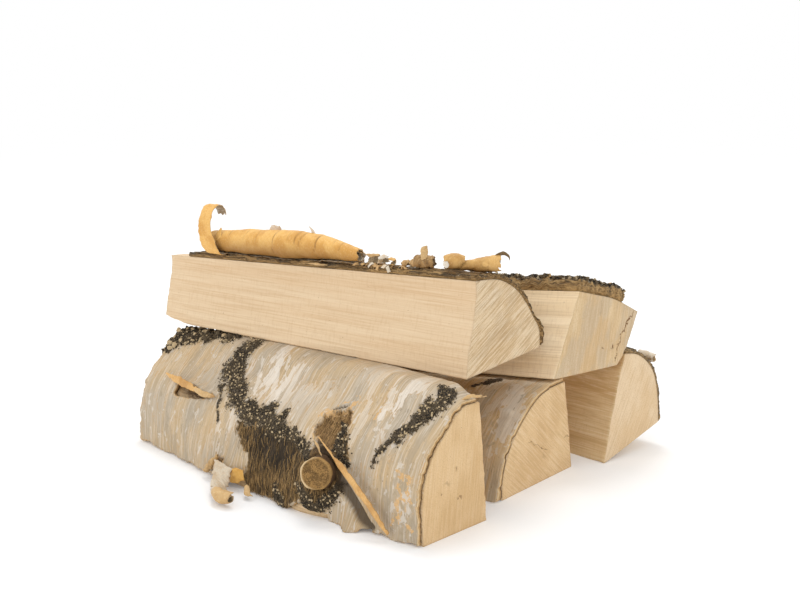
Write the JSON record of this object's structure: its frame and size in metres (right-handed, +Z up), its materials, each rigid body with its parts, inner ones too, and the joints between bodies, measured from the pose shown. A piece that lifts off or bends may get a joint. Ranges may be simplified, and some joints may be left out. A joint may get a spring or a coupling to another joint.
{
  "type": "stack of birch firewood",
  "caption": "Stack of split birch logs with pale wood, papery white bark and loose curls of peeled bark, lying on the ground.",
  "frame": {"origin": "middle of the stack's plan, on the ground under it", "axes": "+Z up; the logs run roughly along X with their near sawn ends towards +X; the front log is towards -Y"},
  "size_m": [0.3698, 0.3888, 0.208],
  "materials": {
    "split_wood": "raw split and sawn birch, matt",
    "white_bark": "papery birch bark, matt",
    "inner_bark": "brown fibrous inner bark, matt",
    "peel": "orange inner face of peeled bark, satin",
    "crust": "black cracked bark, matt"
  },
  "bodies": {
    "root": {"front_log_bark": "white_bark", "front_log_bark_tongue": "peel", "front_log_peeled_strip": "peel", "front_log_wood": "split_wood", "middle_log_bark": "white_bark", "middle_log_wood": "split_wood", "rear_log_bark": "inner_bark", "rear_log_wood": "split_wood", "right_log_bark": "inner_bark", "right_log_bark_curl": "white_bark", "right_log_wood": "split_wood", "top_log_bark": "inner_bark", "top_log_bark_roll": "peel", "top_log_bark_scrap": "crust", "top_log_short_roll": "peel", "top_log_shred_1": "peel", "top_log_shred_2": "peel", "top_log_shred_3": "peel", "top_log_wood": "split_wood"}
  },
  "joints": []
}
